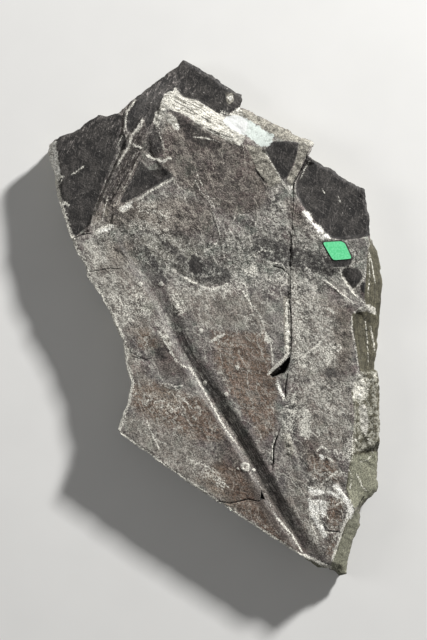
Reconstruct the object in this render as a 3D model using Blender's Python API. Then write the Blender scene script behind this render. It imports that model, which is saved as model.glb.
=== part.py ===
"""Fossil canna leaf: a slab of dark shale with the impression of a large leaf on its face.

The slab lies on its flat back, face up. +Y runs along its length, +Z up out of the face,
and the origin is the middle of the slab's box on the surface it rests on.
Outlines and ledges are read by eye from the photograph, in its pixels, and place() turns
them into metres with the slab's real length.
"""
import math
import random

import bmesh
import bpy
from mathutils import Matrix, Vector, geometry, noise

# Driving sizes, in metres
SLAB_LENGTH = 0.2373
MAIN_BED = 0.0195            # height of the leaf's own layer above the back
MAIN_BED_SWELL = 0.0006
FINE_SWELL = 0.0002
BLOCK_SWELL = 0.0001
TOP_BREAK_DROP = 0.0072      # from the leaf's layer down to the bed under it, at the top
LEFT_BREAK_DROP = 0.0014     # the same step at the left margin
BREAK_ROUGHNESS = 0.0008
RIGHT_BREAK_DROP = 0.0020
RIGHT_BLOCK_DIP = 0.0016     # more drop at the outer edge of the right block
RIGHT_BLOCK_WIDTH = 0.0360
SIDE_DROP = 0.0120           # from the face's edge to the outline on the broken right side
SIDE_ROUGHNESS = 0.0005
BENCH_DROP = 0.0046
CORNER_DROP = 0.0042
RIM_RISE = 0.0004            # the raised left rim of the midrib's groove
GROOVE_LEFT_REACH = 0.0034   # from the bottom of the groove to its steep left edge
GROOVE_RIGHT_REACH = 0.0058
BELT_DEPTH = 0.0008
BELT_ROUGHNESS = 0.0004
BELT_REACH = 0.0150
SPLINTER_RISE = 0.0009
SPLINTER_TOP = 0.0006        # half the flat top of a splinter
SPLINTER_REACH = 0.0013      # half its foot
CHAMFER_DROP = 0.0007        # the slope along the left of the long crack
CRACK_DEPTH = 0.0012
CRACK_REACH = 0.0009
GAP_DEPTH = 0.0060
HOLE_DEPTH = 0.0025
LEDGE_RUN = 0.0006           # how far a steep ledge reaches sideways
LEDGE_FADE = 0.0070          # how far its lower side takes to come up to the face again
EDGE_WEAR = 0.0009
EDGE_WEAR_WIDTH = 0.0013
BACK_CHAMFER = 0.0024
BACK_SPALL = 0.0013
PAPER_THICKNESS = 0.0003
PAPER_GAP = 0.0003
PAPER_FLAT_RADIUS = 0.0082
PAPER_BLEND = 0.0030
PAPER_SLOPE = -0.035         # fall of the face towards +X under the paper

# The bed under the leaf's layer dips towards the upper right, from and to these distances
DIP_DIRECTION = (0.8, 0.6)
DIP_START = 0.022
DIP_END = 0.056

# Wavelengths of the swell in the stone, in metres
LONG_SWELL = 0.060
MIDDLE_SWELL = 0.040
BLOCK_WAVE = 0.020
SHORT_SWELL = 0.014
ROUGH_SWELL = 0.006

# Mesh spacing, in metres
FACE_SPACING = 0.0042
LINE_SPACING = 0.0036
OUTLINE_SPACING = 0.0042
OUTLINE_JITTER = 0.0003
BACK_SPACING = 0.0120
MERGE = 0.00012
TINY = 0.0001
SEED = 7

# The slab's outline, clockwise from the peak, in photograph pixels
OUTLINE_PX = [
    (183.3, 58.3), (196, 65.3), (212, 73.3), (222.7, 82.7), (242, 93.7), (243, 98.3), (240, 106.7),
    (248, 108.7), (260, 115.7), (288, 128.3), (294.7, 134.3), (312.7, 140.7), (315, 143.7),
    (308.7, 155.7), (316.7, 161), (332.8, 168.8), (341.6, 176), (352, 182.4), (365.6, 188.8),
    (368, 208), (370.4, 218.4), (370.4, 234.4), (378.4, 250.4), (380, 258.4), (384, 282),
    (381, 311), (377.4, 355), (375.2, 369.6), (378.4, 371.2), (380.4, 392), (381, 425),
    (378, 478), (379.6, 486), (378, 493), (365.2, 504.4), (361.6, 510), (361.2, 526),
    (351.6, 550), (349.2, 562), (347.6, 575.6), (339.6, 577.6), (335.6, 573.2), (326, 568.4),
    (318, 567.6), (308.4, 561.2), (262, 531), (217, 502), (168, 468.5), (120, 434),
    (117.5, 430), (122, 415.3), (128, 398.7), (131.3, 382.7), (125.3, 363.3), (122.7, 340.7),
    (113.3, 324.3), (112.7, 318.3), (104, 303), (100, 295), (86.7, 276.3), (86, 266.3),
    (78, 255), (69.3, 235), (65.7, 223.4), (56.5, 194), (54.7, 179.3), (47, 149.7),
    (48.7, 143), (59.3, 136.3), (77.3, 129), (98, 114.3), (107.3, 116), (119.3, 111.7),
    (136.7, 95.7), (159.3, 78), (177.3, 65.3),
]

# Edge of the leaf's layer over the lower bed, from the left side round to the right corner
LAYER_EDGE_PX = [
    (58, 240), (72.7, 238.3), (90.7, 233), (112.7, 224.3), (114, 213.7), (128.7, 203.7),
    (168, 175), (160, 165), (151, 150), (150.7, 135.3), (154.7, 130), (158.7, 116.7),
    (160, 108), (174, 109.3), (187.3, 115.3), (206, 128), (214, 129.3), (225.3, 139.3),
    (234, 138), (246, 141), (262, 149.5), (270.7, 145.7), (284, 142.3), (303, 143.5), (322, 146),
]
# Foot of the same break on the lower bed, past the lip (240, 106.7) outside the outline
LAYER_FOOT_PX = [
    (57, 238), (72.2, 237), (90, 231.6), (111.4, 223.4), (112.8, 212.8), (128, 202.4),
    (165.6, 174.8), (158.6, 165.4), (149.6, 150.4), (149.2, 134.8), (153.2, 129.6),
    (156.6, 116.4), (157.6, 105), (163, 95), (170.7, 91.3), (179.3, 90.7), (184, 96.7),
    (196, 99.3), (208.7, 106.7), (216.7, 112), (226, 115.3), (240, 106.7), (262, 104),
    (296, 121), (324, 134), (326, 143),
]
# Edge of the leaf's layer above the lower right block, and the foot of that step
BLOCK_EDGE_PX = [
    (330, 150), (309.5, 154.5), (303.3, 165), (294, 182.3), (296, 196), (304, 212), (309, 221), (318, 230),
    (328, 237.5), (340, 240.5), (354, 239), (380, 236),
]
BLOCK_FOOT_PX = [
    (330, 152), (312, 156.5), (305.4, 166), (296.4, 182.6), (298.2, 195.4), (306, 210.8), (311, 219.4),
    (319.6, 228.2), (329, 235.4), (340.4, 238.2), (354, 236.6), (380, 233.4),
]
# Where the face ends and the broken right side begins
SIDE_EDGE_PX = [
    (372, 236), (368.8, 240), (366.8, 266), (364.4, 296.4), (366, 305), (352, 314),
    (351.6, 320), (354.8, 340), (360.4, 372.8), (354, 384), (351.2, 392), (354.8, 416),
    (350, 460.8), (346, 488), (347.6, 496), (354.8, 509.2), (346, 522.8), (334.8, 551.6),
    (330, 570),
]
# A lower bench on the broken side
BENCH_PX = [
    (357, 378), (372, 371), (390, 372), (390, 452), (372, 449), (360, 456), (353.5, 446),
    (356.5, 416), (353.5, 392),
]
# Sloping corner at the upper left
CORNER_PX = [(46, 138), (57, 138), (57.5, 150), (61, 178), (62, 196), (50, 200), (40, 170)]

# The midrib, an open groove from the middle left down to the lower right, and its depth in
# metres at each of these points
GROOVE_PX = [
    (122, 236), (142, 272), (167, 315), (181, 348), (200.5, 381.5), (222.5, 415.5),
    (235.5, 436), (253, 465.5), (268, 494), (288.5, 527), (305, 550), (320, 571),
]
GROOVE_DEPTHS = [
    0.0003, 0.0010, 0.0014, 0.0017, 0.0021, 0.0026,
    0.0028, 0.0028, 0.0026, 0.0024, 0.0020, 0.0007,
]

# The rough, slightly sunken belt across the middle
BELT_PX = [(118, 236), (190, 268), (262, 262), (345, 268)]

# Small ledges: the face is lower on the left of each line, walking along it
LEDGES_PX = [
    [(166, 266), (181, 276), (192, 282.5), (208, 289), (218, 287), (231, 280)],
    [(318, 276), (326, 281), (332.4, 286), (340.4, 294), (346.8, 298), (356.4, 306)],
    [(339.6, 266), (342, 278), (350, 289), (355.6, 296.4), (365, 304)],
    [(131, 166), (150, 158), (168, 156)],
    [(322, 505), (327, 488), (337, 483), (349, 501)],
]
LEDGE_DROPS = [0.0006, 0.0009, 0.0010, 0.0006, 0.0008]

# Raised splinters of stone between the two smooth dark planes at the upper left
SPLINTERS_PX = [
    [(134, 100), (126.3, 113), (125, 130)],
    [(144, 118), (132, 133.7), (124, 154), (112, 180), (98, 212)],
    [(128, 140), (118, 165), (104, 196), (88, 230)],
    [(146, 150), (128, 176), (112, 204)],
]

# The long crack, the open gap at its lower end, a loose hole and a lower crack
CRACK_PX = [
    (294, 184), (292.4, 230), (290.8, 273), (290, 302), (291, 348),
]
LOWER_CRACK_PX = [(277.3, 436), (273.7, 446), (273.3, 463.3)]
GAP_PX = [
    (292.2, 346), (290, 356), (281, 365), (269.5, 374.4), (271.6, 378.4), (285.2, 373),
    (288.4, 368), (290.6, 358.4),
]
HOLE_PX = [(261.3, 490), (259.3, 500), (265.3, 500)]

# The green paper diamond
PAPER_PX = [(322.5, 242.5), (342, 241.5), (352, 258.6), (331, 260)]

# Rings of the side wall: share of the way down to the back, and how far each lies inwards
SIDE_RINGS = [(0.30, 0.0004), (0.55, 0.0010), (0.80, 0.0009)]
SIDE_JITTER = 0.0006
SIDE_WAVE = 0.0004
# Areas of the back where the lowest bed has split off
BACK_SPALLS_PX = [
    [(120, 60), (250, 60), (262, 112), (205, 128), (170, 112), (130, 122)],
    [(330, 400), (400, 400), (400, 600), (300, 600), (318, 540), (338, 470)],
]

PHOTO_X = [x for x, y in OUTLINE_PX]
PHOTO_Y = [y for x, y in OUTLINE_PX]
METRES_PER_PIXEL = SLAB_LENGTH / (max(PHOTO_Y) - min(PHOTO_Y))
CENTRE_X = (min(PHOTO_X) + max(PHOTO_X)) / 2
CENTRE_Y = (min(PHOTO_Y) + max(PHOTO_Y)) / 2

chance = random.Random(SEED)


def place(points):
    """Photograph pixels to metres, with +Y up the picture."""
    return [
        Vector(((x - CENTRE_X) * METRES_PER_PIXEL, (CENTRE_Y - y) * METRES_PER_PIXEL))
        for x, y in points
    ]


OUTLINE = place(OUTLINE_PX)
LAYER_EDGE = place(LAYER_EDGE_PX)
LAYER_FOOT = place(LAYER_FOOT_PX)
BLOCK_EDGE = place(BLOCK_EDGE_PX)
BLOCK_FOOT = place(BLOCK_FOOT_PX)
SIDE_EDGE = place(SIDE_EDGE_PX)
BENCH = place(BENCH_PX)
CORNER = place(CORNER_PX)
GROOVE = place(GROOVE_PX)
BELT = place(BELT_PX)
LEDGES = [place(line) for line in LEDGES_PX]
SPLINTERS = [place(line) for line in SPLINTERS_PX]
CRACK = place(CRACK_PX)
LOWER_CRACK = place(LOWER_CRACK_PX)
GAP = place(GAP_PX)
HOLE = place(HOLE_PX)
PAPER = place(PAPER_PX)
PAPER_CENTRE = sum(PAPER, Vector((0, 0))) / len(PAPER)
BACK_SPALLS = [place(line) for line in BACK_SPALLS_PX]

# Areas closed far outside the outline
FAR = 0.5


def above(line):
    """The area between a line that runs left to right and a far corner above it."""
    return line + [Vector((FAR, line[-1].y)), Vector((FAR, FAR)), Vector((-FAR, FAR)),
                   Vector((-FAR, line[0].y))]


def below(line):
    return line + [Vector((FAR, line[-1].y)), Vector((FAR, -FAR)), Vector((-FAR, -FAR)),
                   Vector((-FAR, line[0].y))]


def beside(line):
    """The area to the right of a line that runs down or across to the right side."""
    top = max(line[0].y, line[-1].y)
    if line[0].x < line[-1].x:
        return line + [Vector((FAR, line[-1].y)), Vector((FAR, FAR)), Vector((line[0].x, FAR))]
    return line + [Vector((line[-1].x, -FAR)), Vector((FAR, -FAR)), Vector((FAR, top))]


LAYER_AREA = below(LAYER_EDGE)
LOWER_AREA = above(LAYER_FOOT)
BLOCK_AREA = beside(BLOCK_FOOT)
BLOCK_STEP_AREA = beside(BLOCK_EDGE)
SIDE_AREA = beside(SIDE_EDGE)


def nearest(point, line, closed=False):
    """Distance from a point to a line of points, which side it is on, and how far along."""
    best = (1.0, 1.0, 0.0)
    last = len(line) if closed else len(line) - 1
    for index in range(last):
        start = line[index]
        end = line[(index + 1) % len(line)]
        along = end - start
        share = (point - start).dot(along) / along.length_squared
        share = min(1.0, max(0.0, share))
        offset = point - (start + along * share)
        distance = offset.length
        if distance < best[0]:
            side = along.x * offset.y - along.y * offset.x
            best = (distance, side, index + share)
    return best


def distance_to(point, line, closed=False):
    return nearest(point, line, closed)[0]


def inside(point, area):
    """Even and odd crossings of a ray towards +X."""
    crossings = 0
    for start, end in zip(area, area[1:] + area[:1]):
        if (start.y > point.y) != (end.y > point.y):
            reach = start.x + (point.y - start.y) * (end.x - start.x) / (end.y - start.y)
            if reach > point.x:
                crossings += 1
    return crossings % 2 == 1


def smooth(value, low, high):
    """0 below low and 1 above high, with a soft step between them."""
    share = min(1.0, max(0.0, (value - low) / (high - low)))
    return share * share * (3 - 2 * share)


def swell(point, wavelength, seed):
    """Smooth noise of about plus or minus 1 with the given wavelength in metres."""
    return noise.noise(Vector((point.x / wavelength, point.y / wavelength, seed))) * 1.6


def layer_share(point):
    """1 on the leaf's layer, 0 on the bed under it, and between them on the broken step."""
    if inside(point, LAYER_AREA):
        return 1.0
    if inside(point, LOWER_AREA):
        return 0.0
    to_foot = distance_to(point, LAYER_FOOT)
    to_edge = distance_to(point, LAYER_EDGE)
    return to_foot / (to_foot + to_edge)


def block_share(point):
    """1 on the lower right block, 0 off it, and between them on its step."""
    if inside(point, BLOCK_AREA):
        return 1.0
    if not inside(point, BLOCK_STEP_AREA):
        return 0.0
    to_edge = distance_to(point, BLOCK_EDGE)
    to_foot = distance_to(point, BLOCK_FOOT)
    return to_edge / (to_foot + to_edge)


def groove_shape(point):
    """Height that the midrib's groove and its raised left rim add to the face."""
    distance, side, along = nearest(point, GROOVE)
    start = min(int(along), len(GROOVE) - 2)
    depth = GROOVE_DEPTHS[start] + (along - start) * (GROOVE_DEPTHS[start + 1] - GROOVE_DEPTHS[start])
    on_left = side < 0
    reach = GROOVE_LEFT_REACH if on_left else GROOVE_RIGHT_REACH
    open_share = 1 - distance / reach
    rim = 0.0
    if on_left:
        rim = RIM_RISE * math.exp(-((distance / reach - 1.25) / 0.4) ** 2) * depth / max(GROOVE_DEPTHS)
    return rim - depth * smooth(open_share, -0.12, 1.0)


def ledge_drop(point):
    """How much the small ledges lower the face at a point."""
    drop = 0.0
    for line, full_drop in zip(LEDGES, LEDGE_DROPS):
        distance, side, along = nearest(point, line)
        ends = smooth(along, 0, 0.8) * (1 - smooth(along, len(line) - 1.8, len(line) - 1))
        if side > 0:
            fade = 1 - smooth(distance, LEDGE_RUN, LEDGE_FADE)
            drop += full_drop * ends * fade * smooth(distance, 0, LEDGE_RUN)
    return drop


def face_height(point):
    """Height of the face above the back at a point inside the outline."""
    to_outline = distance_to(point, OUTLINE, closed=True)
    layer = MAIN_BED + MAIN_BED_SWELL * swell(point, LONG_SWELL, 1)
    layer += FINE_SWELL * swell(point, SHORT_SWELL, 2)
    layer += groove_shape(point)
    belt = 1 - smooth(distance_to(point, BELT), BELT_REACH * 0.2, BELT_REACH)
    layer -= belt * (BELT_DEPTH + BELT_ROUGHNESS * swell(point, ROUGH_SWELL, 3))
    from_crack, crack_side, crack_along = nearest(point, CRACK)
    if crack_side < 0 and crack_along > 1:
        layer -= CHAMFER_DROP * (1 - smooth(from_crack, 0, 3 * CRACK_REACH))
    for line in (CRACK, LOWER_CRACK):
        layer -= CRACK_DEPTH * (1 - smooth(distance_to(point, line), 0, CRACK_REACH))

    # The bed under the leaf's layer dips away from the left margin to the top break
    dip = smooth(point.dot(Vector(DIP_DIRECTION)), DIP_START, DIP_END)
    lower = MAIN_BED - LEFT_BREAK_DROP - dip * (TOP_BREAK_DROP - LEFT_BREAK_DROP)
    lower += FINE_SWELL * swell(point, MIDDLE_SWELL, 4)
    for line in SPLINTERS:
        lower += SPLINTER_RISE * (1 - smooth(distance_to(point, line), SPLINTER_TOP, SPLINTER_REACH))
    share = layer_share(point)
    on_break = 4 * share * (1 - share)
    height = lower + share * (layer - lower)
    height += on_break * BREAK_ROUGHNESS * swell(point, ROUGH_SWELL, 5)
    height -= ledge_drop(point)

    block = block_share(point)
    left_end = min(corner.x for corner in BLOCK_EDGE)
    outward = smooth(point.x, left_end, left_end + RIGHT_BLOCK_WIDTH)
    block_height = MAIN_BED - RIGHT_BREAK_DROP - outward * RIGHT_BLOCK_DIP
    block_height += BLOCK_SWELL * swell(point, BLOCK_WAVE, 6)
    height += block * (block_height - height)

    # The paper diamond lies on a flat spot
    off_paper = (point - PAPER_CENTRE).length
    flat = 1 - smooth(off_paper, PAPER_FLAT_RADIUS, PAPER_FLAT_RADIUS + PAPER_BLEND)
    height += flat * (1 - block) * (paper_plane(point) - height)

    if inside(point, SIDE_AREA):
        to_edge = distance_to(point, SIDE_EDGE)
        down = to_edge / (to_edge + to_outline + TINY)
        drop = SIDE_DROP * down
        if inside(point, BENCH):
            bench = smooth(distance_to(point, BENCH, closed=True), 0, 2 * LEDGE_RUN)
            drop += bench * (BENCH_DROP * (0.8 + 0.5 * down) - drop)
        roughness = SIDE_ROUGHNESS * abs(swell(point, ROUGH_SWELL, 7))
        height -= drop + roughness * smooth(down, 0.05, 0.3)
    if inside(point, CORNER):
        outward = distance_to(point, CORNER[1:5])
        height -= CORNER_DROP * outward / (outward + to_outline + TINY)
    if inside(point, GAP):
        height -= GAP_DEPTH * smooth(distance_to(point, GAP, closed=True), 0, LEDGE_RUN)
    if inside(point, HOLE):
        height -= HOLE_DEPTH * smooth(distance_to(point, HOLE, closed=True), 0, LEDGE_RUN)
    height -= EDGE_WEAR * (1 - smooth(to_outline, 0, EDGE_WEAR_WIDTH))
    return height


def paper_plane(point):
    """The flat spot under the paper, falling gently towards the right side."""
    return MAIN_BED - BELT_DEPTH / 2 + (point.x - PAPER_CENTRE.x) * PAPER_SLOPE


def back_height(point):
    """The back is flat, apart from the areas where its lowest bed has split off."""
    for area in BACK_SPALLS:
        if inside(point, area):
            return BACK_SPALL * smooth(distance_to(point, area, closed=True), 0, LEDGE_RUN)
    return 0.0


def split_line(line, spacing, closed=False, jitter=0.0):
    """The same line with more points on its long runs, moved a little sideways."""
    points = []
    ends = line[1:] + line[:1] if closed else line[1:]
    for start, end in zip(line, ends):
        steps = max(1, round((end - start).length / spacing))
        across = (end - start).orthogonal().normalized()
        points.append(start.copy())
        for step in range(1, steps):
            shift = across * chance.uniform(-jitter, jitter)
            points.append(start.lerp(end, step / steps) + shift)
    if not closed:
        points.append(line[-1].copy())
    return points


def offset_line(line, distance):
    """The line moved to its left by a distance, for the foot or the top of a ledge."""
    moved = []
    for index, point in enumerate(line):
        before = line[max(0, index - 1)]
        after = line[min(len(line) - 1, index + 1)]
        across = (after - before).orthogonal().normalized()
        moved.append(point + across * distance)
    return moved


def side_lines(line, distances):
    return [split_line(offset_line(line, distance), LINE_SPACING) for distance in distances]


def edge_and_foot(area, spacing):
    """The edge of a sunken area, and the foot of its steep wall just inside it."""
    edge = split_line(area + area[:1], spacing)
    centre = sum(area, Vector((0, 0))) / len(area)
    foot = [point + (centre - point).normalized() * 2 * LEDGE_RUN for point in edge]
    return [edge, foot]


def scatter(outline, spacing, margin):
    """Points in staggered rows, each moved a little, inside the outline."""
    xs = [point.x for point in outline]
    ys = [point.y for point in outline]
    row_height = spacing * math.sqrt(3) / 2
    points = []
    row = 0
    y = min(ys)
    while y < max(ys):
        x = min(xs) + (spacing / 2 if row % 2 else 0)
        while x < max(xs):
            shift = Vector((chance.uniform(-0.2, 0.2), chance.uniform(-0.2, 0.2))) * spacing
            point = Vector((x, y)) + shift
            if inside(point, outline) and distance_to(point, outline, closed=True) > margin:
                points.append(point)
            x += spacing
        y += row_height
        row += 1
    return points


def triangulate(outline, lines, spacing, height_at):
    """Mesh data of an outline filled with triangles whose edges follow the given lines."""
    points = [point.copy() for point in outline]
    edges = []
    for line in lines:
        previous = None
        for point in line:
            clear = inside(point, outline) and distance_to(point, outline, closed=True) > 4 * MERGE
            if not clear:
                previous = None
                continue
            points.append(point)
            if previous is not None:
                edges.append((previous, len(points) - 1))
            previous = len(points) - 1
    on_lines = points[len(outline):]
    for point in scatter(outline, spacing, spacing * 0.45):
        if all((point - other).length > spacing * 0.45 for other in on_lines):
            points.append(point)
    loop = list(range(len(outline)))
    result = geometry.delaunay_2d_cdt(points, edges, [loop], 1, MERGE)
    flat_points = result[0]
    triangles = result[2]
    corners = [(point.x, point.y, height_at(point)) for point in flat_points]
    return corners, triangles


def add_faces(bm, corners, triangles):
    verts = [bm.verts.new(corner) for corner in corners]
    for triangle in triangles:
        bm.faces.new([verts[index] for index in triangle])


def inward(loop, index):
    """Unit vector into the slab at one point of its outline."""
    along = loop[(index + 1) % len(loop)] - loop[index - 1]
    across = along.orthogonal().normalized()
    if not inside(loop[index] + across * TINY, loop):
        across = -across
    return across


def side_positions(outline):
    """Rings of the side wall from under the face's edge down to the back."""
    rings = []
    ways = [inward(outline, index) for index in range(len(outline))]
    tops = [face_height(point) for point in outline]
    for share, inset in SIDE_RINGS:
        ring = []
        for point, way, top in zip(outline, ways, tops):
            depth = inset + chance.uniform(0, SIDE_JITTER)
            place_in = point + way * depth
            height = top + (BACK_CHAMFER - top) * share + chance.uniform(-SIDE_WAVE, SIDE_WAVE)
            ring.append(Vector((place_in.x, place_in.y, height)))
        rings.append(ring)
    foot = []
    for index, way in enumerate(ways):
        depth = BACK_CHAMFER * (0.7 + 0.3 * math.sin(index * 0.9))
        place_in = outline[index] + way * depth
        foot.append(Vector((place_in.x, place_in.y, back_height(place_in))))
    rings.append(foot)
    return rings


def make_slab(collection):
    outline = split_line(OUTLINE, OUTLINE_SPACING, closed=True, jitter=OUTLINE_JITTER)
    lines = []
    worn = [point + inward(outline, index) * EDGE_WEAR_WIDTH for index, point in enumerate(outline)]
    lines.append(worn + worn[:1])
    for line in (LAYER_EDGE, LAYER_FOOT, BLOCK_EDGE, BLOCK_FOOT, SIDE_EDGE):
        lines.append(split_line(line, LINE_SPACING))
    lines += side_lines(GROOVE, [-1.7 * GROOVE_LEFT_REACH, -GROOVE_LEFT_REACH, 0,
                                 0.5 * GROOVE_RIGHT_REACH, GROOVE_RIGHT_REACH])
    lines += side_lines(CRACK, [-3 * CRACK_REACH, -CRACK_REACH, 0, CRACK_REACH])
    lines += side_lines(LOWER_CRACK, [-CRACK_REACH, 0, CRACK_REACH])
    for line in SPLINTERS:
        lines += side_lines(line, [-SPLINTER_REACH, -SPLINTER_TOP, SPLINTER_TOP, SPLINTER_REACH])
    for line in LEDGES:
        lines += side_lines(line, [0, LEDGE_RUN])
    for area in (GAP, HOLE, BENCH):
        lines += edge_and_foot(area, LINE_SPACING)
    lines.append(split_line(CORNER[1:5], LINE_SPACING))
    lines.append(split_line(PAPER + PAPER[:1], LINE_SPACING))

    bm = bmesh.new()
    corners, triangles = triangulate(outline, lines, FACE_SPACING, face_height)
    add_faces(bm, corners, triangles)

    # Walk the open edge of the face down in rings to the back
    place_of = {(round(point.x, 7), round(point.y, 7)): index for index, point in enumerate(outline)}
    order = bm.verts.layers.int.new("outline_place")
    for vert in bm.verts:
        key = (round(vert.co.x, 7), round(vert.co.y, 7))
        vert[order] = place_of.get(key, -1) + 1
    rings = side_positions(outline)
    rim = [edge for edge in bm.edges if edge.is_boundary]
    for ring in rings:
        walls = bmesh.ops.extrude_edge_only(bm, edges=rim)["geom"]
        for vert in [item for item in walls if isinstance(item, bmesh.types.BMVert)]:
            vert.co = ring[vert[order] - 1]
        rim = [item for item in walls if isinstance(item, bmesh.types.BMEdge) and item.is_boundary]

    foot = [Vector((point.x, point.y)) for point in rings[-1]]
    spall_lines = []
    for area in BACK_SPALLS:
        spall_lines += edge_and_foot(area, BACK_SPACING)
    corners, triangles = triangulate(foot, spall_lines, BACK_SPACING, back_height)
    add_faces(bm, corners, triangles)
    bmesh.ops.remove_doubles(bm, verts=bm.verts, dist=MERGE / 10)
    bmesh.ops.recalc_face_normals(bm, faces=bm.faces)

    mesh = bpy.data.meshes.new("slab")
    bm.to_mesh(mesh)
    bm.free()
    slab = bpy.data.objects.new("slab", mesh)
    collection.objects.link(slab)
    return slab


def make_paper(collection):
    """The diamond is a flat filled curve, laid on the flat spot of the face."""
    curve = bpy.data.curves.new("paper_diamond", "CURVE")
    curve.dimensions = "2D"
    curve.fill_mode = "BOTH"
    curve.extrude = PAPER_THICKNESS / 2
    spline = curve.splines.new("POLY")
    spline.points.add(len(PAPER) - 1)
    spline.use_cyclic_u = True
    for target, corner in zip(spline.points, PAPER):
        offset = corner - PAPER_CENTRE
        target.co = (offset.x, offset.y, 0, 1)
    paper = bpy.data.objects.new("paper_diamond", curve)
    height = paper_plane(PAPER_CENTRE) + PAPER_GAP + PAPER_THICKNESS / 2
    paper.location = (PAPER_CENTRE.x, PAPER_CENTRE.y, height)
    paper.rotation_euler = (0, -math.atan(PAPER_SLOPE), 0)
    collection.objects.link(paper)
    return paper


def make_material(name, colour, roughness):
    material = bpy.data.materials.new(name)
    material.use_nodes = True
    shader = material.node_tree.nodes["Principled BSDF"]
    shader.inputs["Base Color"].default_value = (*colour, 1)
    shader.inputs["Roughness"].default_value = roughness
    shader.inputs["Metallic"].default_value = 0
    return material


for leftover in list(bpy.data.objects):
    bpy.data.objects.remove(leftover, do_unlink=True)

parts = bpy.data.collections.new("fossil_canna_leaf")
bpy.context.scene.collection.children.link(parts)
slab_object = make_slab(parts)
slab_object.data.materials.append(make_material("dark_shale", (0.115, 0.105, 0.098), 0.85))
paper_object = make_paper(parts)
paper_object.data.materials.append(make_material("green_paper", (0.12, 0.62, 0.27), 0.9))

# The broken outline strays a little, so the slab's box is centred on the origin afterwards
slab_x = [vert.co.x for vert in slab_object.data.vertices]
slab_y = [vert.co.y for vert in slab_object.data.vertices]
stray = Vector(((min(slab_x) + max(slab_x)) / 2, (min(slab_y) + max(slab_y)) / 2, 0))
slab_object.data.transform(Matrix.Translation(-stray))
paper_object.location -= stray
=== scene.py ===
"""Fossil canna leaf: the finish of the shale slab and its paper diamond.

The slab is a copy of the frame's solid with a finer mesh. Its relief and the places of its
colours come from outlines read in the photograph's pixels, which place() turns into
metres with the slab's own box.
"""
import math
from functools import partial

import bmesh
import bpy
import numpy as np
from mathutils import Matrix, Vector, kdtree, noise


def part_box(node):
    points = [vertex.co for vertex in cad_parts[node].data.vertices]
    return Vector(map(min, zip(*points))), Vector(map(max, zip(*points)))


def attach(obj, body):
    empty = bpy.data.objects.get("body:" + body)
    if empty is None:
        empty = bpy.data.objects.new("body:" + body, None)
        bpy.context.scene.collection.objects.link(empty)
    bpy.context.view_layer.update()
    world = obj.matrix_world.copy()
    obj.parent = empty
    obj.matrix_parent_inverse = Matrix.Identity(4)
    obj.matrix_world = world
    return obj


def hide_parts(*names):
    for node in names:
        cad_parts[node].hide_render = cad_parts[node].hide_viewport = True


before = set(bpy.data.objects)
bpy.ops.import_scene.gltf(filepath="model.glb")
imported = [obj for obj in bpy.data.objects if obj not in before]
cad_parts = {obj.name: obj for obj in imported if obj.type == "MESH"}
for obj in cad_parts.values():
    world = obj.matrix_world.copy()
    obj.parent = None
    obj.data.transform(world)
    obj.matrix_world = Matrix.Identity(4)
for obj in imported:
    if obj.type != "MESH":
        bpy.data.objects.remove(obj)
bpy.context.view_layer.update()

MM = 0.001

# The slab in the photograph, in its 427 by 640 pixels
SLAB_LEFT_PX = 47.0
SLAB_RIGHT_PX = 384.0
SLAB_TOP_PX = 58.3
SLAB_FOOT_PX = 577.6
FRAME_WIDTH_PX = 427
FRAME_HEIGHT_PX = 640

slab_low, slab_high = [Vector(corner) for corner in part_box("slab")]
METRES_PER_PIXEL = (slab_high.y - slab_low.y) / (SLAB_FOOT_PX - SLAB_TOP_PX)
CENTRE_X_PX = (SLAB_LEFT_PX + SLAB_RIGHT_PX) / 2
CENTRE_Y_PX = (SLAB_TOP_PX + SLAB_FOOT_PX) / 2
FACE_HEIGHT = slab_high.z


# Places in the photograph are written as x,y pairs of pixels, with one line or outline to a row
def points(text):
    return [tuple(map(float, pair.split(","))) for pair in text.split() if "," in pair]


def areas(text):
    return [points(row) for row in text.strip().splitlines()]


def rows(text):
    """Numbers and points of each row. Numbers that start a row also hold for those below it."""
    entries, numbers = [], []
    for row in text.strip().splitlines():
        numbers = [float(word) for word in row.split() if "," not in word] or numbers
        entries.append((*numbers, points(row)))
    return entries


def place(points_px):
    """Photograph pixels to metres on the slab, with +Y up the picture."""
    points_px = np.array(points_px, float)
    return np.column_stack((
        (points_px[:, 0] - CENTRE_X_PX) * METRES_PER_PIXEL,
        (CENTRE_Y_PX - points_px[:, 1]) * METRES_PER_PIXEL,
    ))


def smooth(value, low, high):
    """0 below low and 1 above high, with a soft step between them."""
    share = np.clip((value - low) / (high - low), 0, 1)
    return share * share * (3 - 2 * share)


def fading_ends(share, width):
    """1 along a line, falling to 0 over a share of its length at each end."""
    return smooth(share, 0, width) * (1 - smooth(share, 1 - width, 1))


def along_line(spots, line):
    """Distance of each spot to a line, the side it lies on, and how far along it is, 0 to 1."""
    best = np.full(len(spots), 1.0)
    side = np.zeros(len(spots))
    share_along = np.zeros(len(spots))
    last = len(line) - 1
    for index in range(last):
        start = line[index]
        run = line[index + 1] - start
        offset = spots - start
        share = np.clip(offset @ run / (run @ run), 0, 1)
        away = offset - share[:, None] * run
        distance = np.hypot(away[:, 0], away[:, 1])
        nearer = distance < best
        best = np.where(nearer, distance, best)
        side = np.where(nearer, np.sign(run[0] * away[:, 1] - run[1] * away[:, 0]), side)
        share_along = np.where(nearer, (index + share) / last, share_along)
    return best, side, share_along


def from_lines(spots, *lines_px):
    """Distance in millimetres of each spot to the nearest of the lines."""
    return np.min([along_line(spots, place(line))[0] for line in lines_px], axis=0) / MM


def from_point(spots, point_px):
    """Distance in millimetres of each spot to a point."""
    return np.hypot(*(spots - place([point_px])[0]).T) / MM


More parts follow.
